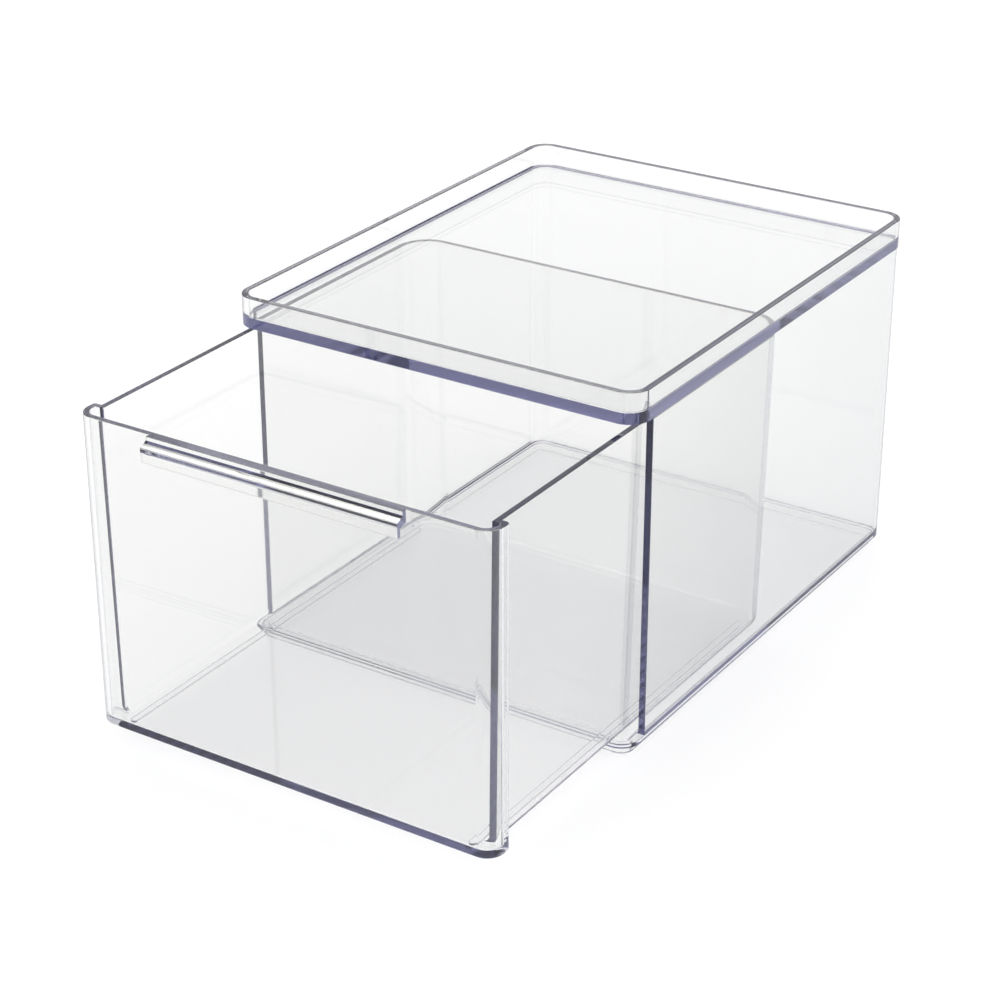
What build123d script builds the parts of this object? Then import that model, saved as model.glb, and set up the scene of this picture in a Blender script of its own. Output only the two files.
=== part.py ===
from build123d import *
import os

# Clear stackable drawer box: a moulded case that is open at the front, a shallow tray that closes its top and
# carries the next box, and a pull-out drawer with a finger pull moulded under its front rim.
# Millimetres. X runs across the box, Y from its front to its back, Z up. The drawer stands partly open.

# Overall size of the box without its drawer
width = 152.0
depth = 188.0
height = 127.0

# Top tray
tray_floor = 3.0
tray_recess = 7.6
rim_wall = 2.2
tray_corner = 7.5
tray_edge_round = 0.3
tray_inside_round = 1.0

# Case
case_inset = 0.4  # the case stands this far inside the tray's outline
case_wall = 2.2
wall_setback = 10.0  # from the tray's front back to the front edges of the side walls
bond_gap = 0.1  # for the film of adhesive between the walls' top edges and the tray
base_thickness = 2.0
base_edge_round = 0.6
wall_edge_round = 0.4
case_inside_round = 1.2

# Foot rim, which drops inside the rim of the tray below
foot_height = 3.2
foot_wall = 2.0
foot_edge_round = 0.5
stacking_clearance = 0.6

# Drawer
back_clearance = 4.9  # between the closed drawer's back and the case's back wall
drawer_wall = 2.0
drawer_floor = 2.2
side_clearance = 0.7  # between the bin and each side wall of the case
top_clearance = 1.8  # between the drawer's rim and the tray
running_gap = 0.3  # under the runners, and between the closed flanges and the side walls
draft = 1.2  # how far each side of the bin and its back lean in from rim to floor
front_setback = 0.5  # the closed front stands this far behind the tray's front
front_inset = 0.4  # the front is this much narrower than the tray, each side
front_corner = 6.0
flange_corner = 1.2
bin_corner = 12.0
front_bottom_round = 0.8
bin_bottom_round = 4.0
inside_round = 2.0
rim_edge_round = 0.25
least_corner = 0.4  # of a hollow whose wall is as thick as its outer corner is round
pulled_out = 79.0

# Runners under the drawer's floor
runner_width = 2.4
runner_height = 0.9
runner_inset = 6.6  # from the bin's side at the floor to the middle of a runner
runner_front_margin = 3.0
runner_edge_round = 0.3

# Finger pull, in distances out from the front and down from the rim
pull_width = 93.0
pull_lip = 1.6
pull_lip_drop = 1.3
pull_reach = 4.4
pull_tip_drop = 2.6
pull_slope_sag = 0.3
pull_foot_drop = 7.6
pull_foot_lean = 0.2
pull_skirt_wall = 1.2
pull_ceiling_drop = 4.8
pull_root_drop = 4.2
pull_edge_round = 0.3

# Levels, from the ground up
case_floor_top = foot_height + base_thickness
drawer_bottom = case_floor_top + running_gap + runner_height
inside_floor = drawer_bottom + drawer_floor
tray_bottom = height - tray_recess - tray_floor
wall_top = tray_bottom - bond_gap
drawer_top = tray_bottom - top_clearance

# Widths and depths that follow from the sizes above
case_inside = case_inset + case_wall
foot_inset = rim_wall + stacking_clearance
bin_half = width / 2 - case_inside - side_clearance
front_half = width / 2 - front_inset
flange_depth = wall_setback - front_setback - running_gap
front_round = min(front_corner, flange_depth - drawer_wall - least_corner - front_bottom_round)
drawer_length = depth - front_setback - case_inside - back_clearance

# The origin is on the ground under the middle of the whole, drawer and finger pull included
case_to_front = depth / 2 - front_setback + pulled_out
case_y = (case_to_front + pull_reach - depth / 2) / 2
front_y = case_y - case_to_front
wall_front_y = case_y - depth / 2 + wall_setback

# Runners run from just behind the front to where the bin's back corners begin
runner_x = bin_half - draft - runner_inset
runner_start = front_y + drawer_wall + runner_front_margin
runner_length = front_y + drawer_length - bin_corner - runner_start
runner_y = runner_start + runner_length / 2


def outline(inset, mode=Mode.ADD):
    """The tray's outline inset by a distance, in the sketch in hand."""
    corner = max(tray_corner - inset, least_corner)
    with Locations((0, case_y)):
        RectangleRounded(width - 2 * inset, depth - 2 * inset, corner, mode=mode)


def bin_block(inset, bottom, bottom_round):
    """The bin as a solid block, inset from its outside, with round back corners."""
    start = front_y + flange_depth / 2
    with BuildPart() as block:
        for level in (bottom, drawer_top):
            lean = draft * (drawer_top - level) / (drawer_top - drawer_bottom)
            half = bin_half - inset - lean
            back = front_y + drawer_length - inset - lean
            with BuildSketch(Plane.XY.offset(level)) as plan:
                with Locations((0, start)):
                    Rectangle(2 * half, back - start, align=(Align.CENTER, Align.MIN))
                fillet(plan.vertices().group_by(Axis.Y)[-1], max(bin_corner - inset, least_corner))
        loft(ruled=True)
        bottom_edges = block.faces().sort_by(Axis.Z)[0].edges().sort_by(Axis.Y)
        fillet(bottom_edges[1:], bottom_round)
    return block.part


def front_block(inset, bottom):
    """The drawer's wide front with its two flanges as a solid block, inset from its outside."""
    with BuildPart() as block:
        with BuildSketch(Plane.XY.offset(bottom)) as plan:
            with Locations((0, front_y + inset)):
                Rectangle(2 * (front_half - inset), flange_depth - 2 * inset, align=(Align.CENTER, Align.MIN))
            fillet(plan.vertices().group_by(Axis.Y)[0], max(front_round - inset, least_corner))
            fillet(plan.vertices().group_by(Axis.Y)[-1], max(flange_corner - inset, least_corner))
        extrude(amount=drawer_top - bottom)
        fillet(block.faces().sort_by(Axis.Z)[0].edges(), front_bottom_round)
    return block.part


# The drawer's outside and its hollow, as blocks
bin_outside = bin_block(0, drawer_bottom, bin_bottom_round)
bin_hollow = bin_block(drawer_wall, inside_floor, inside_round)
front_outside = front_block(0, drawer_bottom)
front_hollow = front_block(drawer_wall, inside_floor)

with BuildPart() as drawer:
    add(bin_outside)
    add(front_outside)

    # Finger pull, drawn in section: a widened rim, a slope to the tip, and a skirt with a pocket behind it
    with BuildSketch(Plane(origin=(pull_width / 2, front_y, drawer_top), x_dir=(0, -1, 0), z_dir=(-1, 0, 0))):
        with BuildLine():
            root = -drawer_wall / 2
            foot = pull_reach - pull_foot_lean
            slope_drop = (pull_lip_drop + pull_tip_drop) / 2 + pull_slope_sag
            slope_middle = ((pull_lip + pull_reach) / 2, -slope_drop)
            Line((root, 0), (pull_lip, 0))
            Line((pull_lip, 0), (pull_lip, -pull_lip_drop))
            ThreePointArc((pull_lip, -pull_lip_drop), slope_middle, (pull_reach, -pull_tip_drop))
            Polyline(
                (pull_reach, -pull_tip_drop),
                (foot, -pull_foot_drop),
                (foot - pull_skirt_wall, -pull_foot_drop),
                (foot - pull_skirt_wall, -pull_ceiling_drop),
                (0, -pull_root_drop),
                (root, -pull_root_drop),
                (root, 0),
            )
        make_face()
    extrude(amount=pull_width)

    # Hollow of the bin and of its front between the flanges
    add(bin_hollow, mode=Mode.SUBTRACT)
    add(front_hollow, mode=Mode.SUBTRACT)

    # Runners with round ends
    with BuildSketch(Plane.XY.offset(drawer_bottom - runner_height)):
        with Locations((-runner_x, runner_y), (runner_x, runner_y)):
            SlotOverall(runner_length, runner_width, rotation=90)
    extrude(amount=runner_height + drawer_floor / 2)

    fillet(drawer.edges().filter_by(Axis.X).group_by(Axis.Y)[0], pull_edge_round)
    fillet(drawer.faces().sort_by(Axis.Z)[-1].edges(), rim_edge_round)
    fillet(drawer.faces().group_by(Axis.Z)[0].edges(), runner_edge_round)

with BuildPart() as case_shell:
    # Base plate, which reaches out in front of the walls
    with BuildSketch(Plane.XY.offset(foot_height)):
        outline(case_inset)
    extrude(amount=base_thickness)
    fillet(case_shell.faces().filter_by(Axis.Z).edges(), base_edge_round)

    # Foot rim
    with BuildSketch():
        outline(foot_inset)
        outline(foot_inset + foot_wall, Mode.SUBTRACT)
    extrude(amount=foot_height)
    fillet(case_shell.faces().sort_by(Axis.Z)[0].edges(), foot_edge_round)

    # Walls all round, rounded into the base plate
    wall_start = foot_height + base_thickness / 2
    with BuildSketch(Plane.XY.offset(wall_start)):
        outline(case_inset)
        outline(case_inside, Mode.SUBTRACT)
    extrude(amount=wall_top - wall_start)
    fillet(case_shell.faces().filter_by(Axis.Z).group_by(Axis.Z)[-2].edges(), case_inside_round)

    # Open front, which leaves the side and back walls
    with BuildSketch(Plane.XY.offset(case_floor_top)):
        with Locations((0, wall_front_y)):
            Rectangle(width, wall_setback, align=(Align.CENTER, Align.MAX))
    extrude(amount=wall_top - case_floor_top, mode=Mode.SUBTRACT)
    front_edges = case_shell.edges().filter_by(Axis.Z).filter_by_position(
        Axis.Y, wall_front_y, wall_front_y, (True, True)
    )
    fillet(front_edges.sort_by(Axis.X)[0], wall_edge_round)
    fillet(front_edges.sort_by(Axis.X)[-1], wall_edge_round)

with BuildPart() as top_tray:
    with BuildSketch(Plane.XY.offset(tray_bottom)):
        outline(0)
    extrude(amount=height - tray_bottom)
    with BuildSketch(Plane.XY.offset(tray_bottom + tray_floor)):
        outline(rim_wall)
    extrude(amount=tray_recess, mode=Mode.SUBTRACT)
    fillet(top_tray.faces().filter_by(Axis.Z).group_by(Axis.Z)[1].edges(), tray_inside_round)
    fillet(top_tray.faces().sort_by(Axis.Z)[-1].edges(), tray_edge_round)
    fillet(top_tray.faces().sort_by(Axis.Z)[0].edges(), tray_edge_round)

case_shell.part.label = "case_shell"
top_tray.part.label = "top_tray"
drawer.part.label = "drawer"

os.makedirs("parts", exist_ok=True)
for piece in (case_shell.part, top_tray.part, drawer.part):
    export_step(piece, f"parts/{piece.label}.step")
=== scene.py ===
import math

import bpy
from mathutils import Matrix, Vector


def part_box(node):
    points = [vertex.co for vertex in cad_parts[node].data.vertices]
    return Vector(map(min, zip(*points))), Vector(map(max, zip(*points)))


# A clear stackable drawer box on a pale floor. Metres, Z up, in the part's own frame.

# Camera, as the photograph was taken
LENS = 92.84
SENSOR = 36.0
AZIMUTH = 32.81
ELEVATION = 26.07
TARGET_HEIGHT = 0.064
DISTANCE = 0.8975
TARGET_RIGHT = 0.02798
TARGET_UP = 0.02671

# Clear plastic. Its body colour shows where one looks along a wall.
PLASTIC_IOR = 1.57
BODY_TINT = (0.2, 0.2, 0.5, 1.0)
BODY_DENSITY = 11.0
SHADOW_TINT = (0.972, 0.972, 0.974, 1.0)

# Tint of its faces, with painted shade that grows darker from one share of grazing to another, on walls alone:
# dark edge lines painted into the colour where walls are seen at a glance
FACE_TINT = (0.965, 0.967, 0.955, 1.0)
GRAZED_PAINTED_SHADE = (0.36, 0.40, 0.43, 1.0)
GRAZED_FROM = 0.55
GRAZED_TO = 0.80

# Painted shade on the tops of the rims: grey that stands in for the shade seen down through each rim; the case
# shell's rim keeps the plain face colour
RIM_SKIN = 0.0004  # how far below a rim's top its painted shade reaches
RIM_PAINTED_SHADES = {"top_tray": (0.12, 0.12, 0.13, 1.0), "drawer": (0.66, 0.66, 0.46, 1.0), "case_shell": FACE_TINT}

# Ripples of the moulding and smudges of handling
RIPPLE_SCALE = 30.0
RIPPLE_DETAIL = 1.0
SMUDGE_SCALE = 14.0
SMUDGE_DETAIL = 5.0
SMUDGE_FROM = 0.52
SMUDGE_TO = 0.75
CLEAN_ROUGHNESS = 0.02
SMUDGE_ROUGHNESS = 0.04
RIPPLE_STRENGTH = 0.02
RIPPLE_HEIGHT = 0.0004

# Floor
FLOOR_SIZE = 12.0
FLOOR_DROP = 0.0002  # keeps the floor from lying in the same plane as the foot's underside
FLOOR_PAINT = (0.95, 0.95, 0.955, 1.0)
FLOOR_GLOW = 0.6  # share of plain white in the floor as it is seen

# Surroundings as the plastic reflects them, by the height of the direction, and the lamp
WHITE = (1.0, 1.0, 1.0, 1.0)
SURROUNDINGS = ((0.33, WHITE), (0.5, (0.6, 0.6, 0.64, 1.0)), (1.0, (0.42, 0.42, 0.47, 1.0)))
SOFTBOX_PLACE = (-0.5, 0.5, 1.4)
SOFTBOX_SIZE = 1.0
SOFTBOX_POWER = 9.0

# Light crosses many faces on its way along an edge, and edges come out black with few bounces
BOUNCES = 96
TRANSPARENT_BOUNCES = 48


def new_material(name):
    """An empty node material, with its output node."""
    material = bpy.data.materials.new(name)
    material.use_nodes = True
    material.node_tree.nodes.clear()
    output = material.node_tree.nodes.new("ShaderNodeOutputMaterial")
    return material, material.node_tree.nodes, material.node_tree.links, output


def new_group(name, inputs, outputs):
    """A node group of plain numbers, with the default of each input."""
    group = bpy.data.node_groups.new(name, "ShaderNodeTree")
    for socket_name, value in inputs.items():
        socket = group.interface.new_socket(socket_name, in_out="INPUT", socket_type="NodeSocketFloat")
        socket.default_value = value
    for socket_name in outputs:
        group.interface.new_socket(socket_name, in_out="OUTPUT", socket_type="NodeSocketFloat")
    group_in = group.nodes.new("NodeGroupInput")
    group_out = group.nodes.new("NodeGroupOutput")
    return group, group_in, group_out


def calculate(nodes, links, operation, *values):
    """The result of a math node on numbers or sockets."""
    node = nodes.new("ShaderNodeMath")
    node.operation = operation
    for socket, value in zip(node.inputs, values):
        if isinstance(value, float):
            socket.default_value = value
        else:
            links.new(value, socket)
    return node.outputs["Value"]


def ray_mask(nodes, links, *kinds):
    """1 for rays of the given kinds and 0 for the rest."""
    path = nodes.new("ShaderNodeLightPath")
    mask = path.outputs[kinds[0]]
    for kind in kinds[1:]:
        mask = calculate(nodes, links, "MAXIMUM", mask, path.outputs[kind])
    return mask


def handling_marks_group():
    """Faint flow ripples of the moulding and smudges of handling, as a roughness and a bump height."""
    group, group_in, group_out = new_group(
        "handling_marks",
        {
            "Ripple Scale": RIPPLE_SCALE,
            "Smudge Scale": SMUDGE_SCALE,
            "Base Roughness": CLEAN_ROUGHNESS,
            "Smudge Roughness": SMUDGE_ROUGHNESS,
        },
        ("Roughness", "Height"),
    )
    nodes, links = group.nodes, group.links
    place = nodes.new("ShaderNodeTexCoord")
    ripple = nodes.new("ShaderNodeTexNoise")
    ripple.inputs["Detail"].default_value = RIPPLE_DETAIL
    smudge = nodes.new("ShaderNodeTexNoise")
    smudge.inputs["Detail"].default_value = SMUDGE_DETAIL
    for noise, scale in ((ripple, "Ripple Scale"), (smudge, "Smudge Scale")):
        links.new(place.outputs["Object"], noise.inputs["Vector"])
        links.new(group_in.outputs[scale], noise.inputs["Scale"])
    level = nodes.new("ShaderNodeMapRange")
    level.inputs["From Min"].default_value = SMUDGE_FROM
    level.inputs["From Max"].default_value = SMUDGE_TO
    links.new(smudge.outputs["Fac"], level.inputs["Value"])
    links.new(group_in.outputs["Base Roughness"], level.inputs["To Min"])
    links.new(group_in.outputs["Smudge Roughness"], level.inputs["To Max"])
    links.new(level.outputs["Result"], group_out.inputs["Roughness"])
    links.new(ripple.outputs["Fac"], group_out.inputs["Height"])
    return group


def rim_top_group():
    """A mask of the thin layer at and below a given height."""
    group, group_in, group_out = new_group("rim_top", {"Rim Height": 0.0, "Skin": 0.0}, ("Mask",))
    nodes, links = group.nodes, group.links
    place = nodes.new("ShaderNodeTexCoord")
    split = nodes.new("ShaderNodeSeparateXYZ")
    links.new(place.outputs["Object"], split.inputs["Vector"])
    start = calculate(nodes, links, "SUBTRACT", group_in.outputs["Rim Height"], group_in.outputs["Skin"])
    level = nodes.new("ShaderNodeMapRange")
    links.new(split.outputs["Z"], level.inputs["Value"])
    links.new(start, level.inputs["From Min"])
    links.new(group_in.outputs["Rim Height"], level.inputs["From Max"])
    links.new(level.outputs["Result"], group_out.inputs["Mask"])
    return group


def upright_faces_group():
    """A mask of how upright a face stands, 1 on walls and 0 on level faces."""
    group, _, group_out = new_group("upright_faces", {}, ("Mask",))
    nodes, links = group.nodes, group.links
    place = nodes.new("ShaderNodeTexCoord")
    split = nodes.new("ShaderNodeSeparateXYZ")
    links.new(place.outputs["Normal"], split.inputs["Vector"])
    level = calculate(nodes, links, "ABSOLUTE", split.outputs["Z"])
    links.new(calculate(nodes, links, "SUBTRACT", 1.0, level), group_out.inputs["Mask"])
    return group


def clear_plastic(name, marks, rim_top, upright_faces, rim_height, rim_painted_shade):
    """Clear moulded plastic with a faint violet body colour, with painted shade on grazed walls and on its
    rim's top.
    """
    material, nodes, links, output = new_material(name)
    plastic = nodes.new("ShaderNodeBsdfPrincipled")
    plastic.inputs["IOR"].default_value = PLASTIC_IOR
    plastic.inputs["Transmission Weight"].default_value = 1.0

    # Tint of its faces, with painted shade on grazed walls
    grazing = nodes.new("ShaderNodeLayerWeight")
    upright = nodes.new("ShaderNodeGroup")
    upright.node_tree = upright_faces
    # Painted shade: the colour of upright walls darkens as they are seen more at a glance, standing in for dark
    # edge lines
    painted_shade_mask = calculate(nodes, links, "MULTIPLY", grazing.outputs["Facing"], upright.outputs["Mask"])
    edge = nodes.new("ShaderNodeValToRGB")
    edge.color_ramp.elements[0].position = GRAZED_FROM
    edge.color_ramp.elements[0].color = FACE_TINT
    edge.color_ramp.elements[1].position = GRAZED_TO
    edge.color_ramp.elements[1].color = GRAZED_PAINTED_SHADE
    links.new(painted_shade_mask, edge.inputs["Fac"])

    # Painted shade on its rim's top
    rim = nodes.new("ShaderNodeGroup")
    rim.node_tree = rim_top
    rim.inputs["Rim Height"].default_value = rim_height
    rim.inputs["Skin"].default_value = RIM_SKIN
    # Mixes the painted rim shade over the face colour and its painted wall shade
    tint_and_painted_shade = nodes.new("ShaderNodeMix")
    tint_and_painted_shade.data_type = "RGBA"
    factor, first, second = [socket for socket in tint_and_painted_shade.inputs if socket.enabled]
    links.new(rim.outputs["Mask"], factor)
    links.new(edge.outputs["Color"], first)
    second.default_value = rim_painted_shade
    links.new(next(socket for socket in tint_and_painted_shade.outputs if socket.enabled), plastic.inputs["Base Color"])

    # Marks
    wear = nodes.new("ShaderNodeGroup")
    wear.node_tree = marks
    bump = nodes.new("ShaderNodeBump")
    bump.inputs["Strength"].default_value = RIPPLE_STRENGTH
    bump.inputs["Distance"].default_value = RIPPLE_HEIGHT
    links.new(wear.outputs["Roughness"], plastic.inputs["Roughness"])
    links.new(wear.outputs["Height"], bump.inputs["Height"])
    links.new(bump.outputs["Normal"], plastic.inputs["Normal"])

    # Lamps shine straight through, so that the shadow stays faint, and the body absorbs what is seen through it
    let_through = nodes.new("ShaderNodeBsdfTransparent")
    let_through.inputs["Color"].default_value = SHADOW_TINT
    mix = nodes.new("ShaderNodeMixShader")
    links.new(ray_mask(nodes, links, "Is Shadow Ray"), mix.inputs["Fac"])
    links.new(plastic.outputs["BSDF"], mix.inputs[1])
    links.new(let_through.outputs["BSDF"], mix.inputs[2])
    links.new(mix.outputs["Shader"], output.inputs["Surface"])
    body = nodes.new("ShaderNodeVolumeAbsorption")
    body.inputs["Color"].default_value = BODY_TINT
    body.inputs["Density"].default_value = BODY_DENSITY
    links.new(body.outputs["Volume"], output.inputs["Volume"])
    return material


def floor_material():
    """Pale floor that stays white for the camera, and through and in the plastic, but keeps a soft shadow."""
    material, nodes, links, output = new_material("pale_floor")
    paint = nodes.new("ShaderNodeBsdfDiffuse")
    paint.inputs["Color"].default_value = FLOOR_PAINT
    glow = nodes.new("ShaderNodeEmission")
    glow.inputs["Color"].default_value = WHITE
    seen = ray_mask(nodes, links, "Is Camera Ray", "Is Glossy Ray", "Is Transmission Ray")
    mix = nodes.new("ShaderNodeMixShader")
    links.new(calculate(nodes, links, "MULTIPLY", seen, FLOOR_GLOW), mix.inputs["Fac"])
    links.new(paint.outputs["BSDF"], mix.inputs[1])
    links.new(glow.outputs["Emission"], mix.inputs[2])
    links.new(mix.outputs["Shader"], output.inputs["Surface"])
    return material


def studio_world():
    """White all round at eye level, darker above, as in a studio with its lights turned to a white sweep."""
    world = bpy.data.worlds.new("studio")
    world.use_nodes = True
    nodes, links = world.node_tree.nodes, world.node_tree.links
    nodes.clear()
    output = nodes.new("ShaderNodeOutputWorld")
    place = nodes.new("ShaderNodeTexCoord")
    split = nodes.new("ShaderNodeSeparateXYZ")
    links.new(place.outputs["Generated"], split.inputs["Vector"])
    ramp = nodes.new("ShaderNodeValToRGB")
    ramp.color_ramp.elements[0].color = WHITE
    ramp.color_ramp.elements[1].position, ramp.color_ramp.elements[1].color = SURROUNDINGS[-1]
    for height, color in SURROUNDINGS[:-1]:
        ramp.color_ramp.elements.new(height).color = color
    links.new(split.outputs["Z"], ramp.inputs["Fac"])
    reflected = nodes.new("ShaderNodeBackground")
    links.new(ramp.outputs["Color"], reflected.inputs["Color"])
    plain = nodes.new("ShaderNodeBackground")
    plain.inputs["Color"].default_value = WHITE
    mix = nodes.new("ShaderNodeMixShader")
    links.new(ray_mask(nodes, links, "Is Glossy Ray", "Is Transmission Ray"), mix.inputs["Fac"])
    links.new(plain.outputs["Background"], mix.inputs[1])
    links.new(reflected.outputs["Background"], mix.inputs[2])
    links.new(mix.outputs["Shader"], output.inputs["Surface"])
    bpy.context.scene.world = world


def area_light(name, place, aim, size, power):
    """A soft square light that faces a point."""
    data = bpy.data.lights.new(name, "AREA")
    data.shape = "SQUARE"
    data.size = size
    data.energy = power
    lamp = bpy.data.objects.new(name, data)
    bpy.context.collection.objects.link(lamp)
    lamp.location = place
    direction = [b - a for a, b in zip(place, aim)]
    flat = math.hypot(direction[0], direction[1])
    lamp.rotation_euler = (math.atan2(flat, -direction[2]), 0.0, math.atan2(-direction[0], direction[1]))


def add_camera(case_middle):
    """The camera, placed by its angle round the case and its distance."""
    turn, tilt = math.radians(AZIMUTH), math.radians(ELEVATION)
    back = (math.sin(turn) * math.cos(tilt), -math.cos(turn) * math.cos(tilt), math.sin(tilt))
    right = (math.cos(turn), math.sin(turn), 0.0)
    up = (-math.sin(turn) * math.sin(tilt), math.cos(turn) * math.sin(tilt), math.cos(tilt))
    data = bpy.data.cameras.new("camera")
    data.lens = LENS
    data.sensor_width = SENSOR
    camera = bpy.data.objects.new("camera", data)
    bpy.context.collection.objects.link(camera)
    target = (0.0, case_middle, TARGET_HEIGHT)
    camera.location = [
        t + b * DISTANCE - r * TARGET_RIGHT - u * TARGET_UP for t, b, r, u in zip(target, back, right, up)
    ]
    camera.rotation_euler = (math.pi / 2 - tilt, 0.0, turn)
    bpy.context.scene.camera = camera


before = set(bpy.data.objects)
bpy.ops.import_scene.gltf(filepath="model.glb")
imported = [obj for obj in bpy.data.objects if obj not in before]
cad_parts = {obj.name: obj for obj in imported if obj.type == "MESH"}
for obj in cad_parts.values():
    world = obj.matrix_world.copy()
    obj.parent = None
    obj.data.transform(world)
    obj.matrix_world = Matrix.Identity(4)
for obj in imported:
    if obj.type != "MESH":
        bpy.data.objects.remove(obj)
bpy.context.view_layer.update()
bpy.ops.object.select_all(action="DESELECT")

# Materials of the three mouldings
marks = handling_marks_group()
rim_top = rim_top_group()
upright_faces = upright_faces_group()
# Each moulding gets painted shade on its rim's top
for node_name, rim_painted_shade in RIM_PAINTED_SHADES.items():
    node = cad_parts[node_name]
    _, node_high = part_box(node_name)
    plastic = clear_plastic(f"clear_{node_name}", marks, rim_top, upright_faces, node_high.z, rim_painted_shade)
    node.data.materials.clear()
    node.data.materials.append(plastic)

# Floor
bpy.ops.mesh.primitive_plane_add(size=FLOOR_SIZE, location=(0.0, 0.0, -FLOOR_DROP))
floor = bpy.context.object
floor.name = "floor"
floor.data.materials.append(floor_material())

# Light and camera
tray_low, tray_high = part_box("top_tray")
case_middle = (tray_low.y + tray_high.y) / 2
studio_world()
area_light("overhead_softbox", SOFTBOX_PLACE, (0.0, 0.0, 0.0), SOFTBOX_SIZE, SOFTBOX_POWER)
add_camera(case_middle)
scene = bpy.context.scene
scene.view_settings.view_transform = "Standard"
scene.cycles.max_bounces = BOUNCES
scene.cycles.transmission_bounces = BOUNCES
scene.cycles.glossy_bounces = BOUNCES
scene.cycles.transparent_max_bounces = TRANSPARENT_BOUNCES
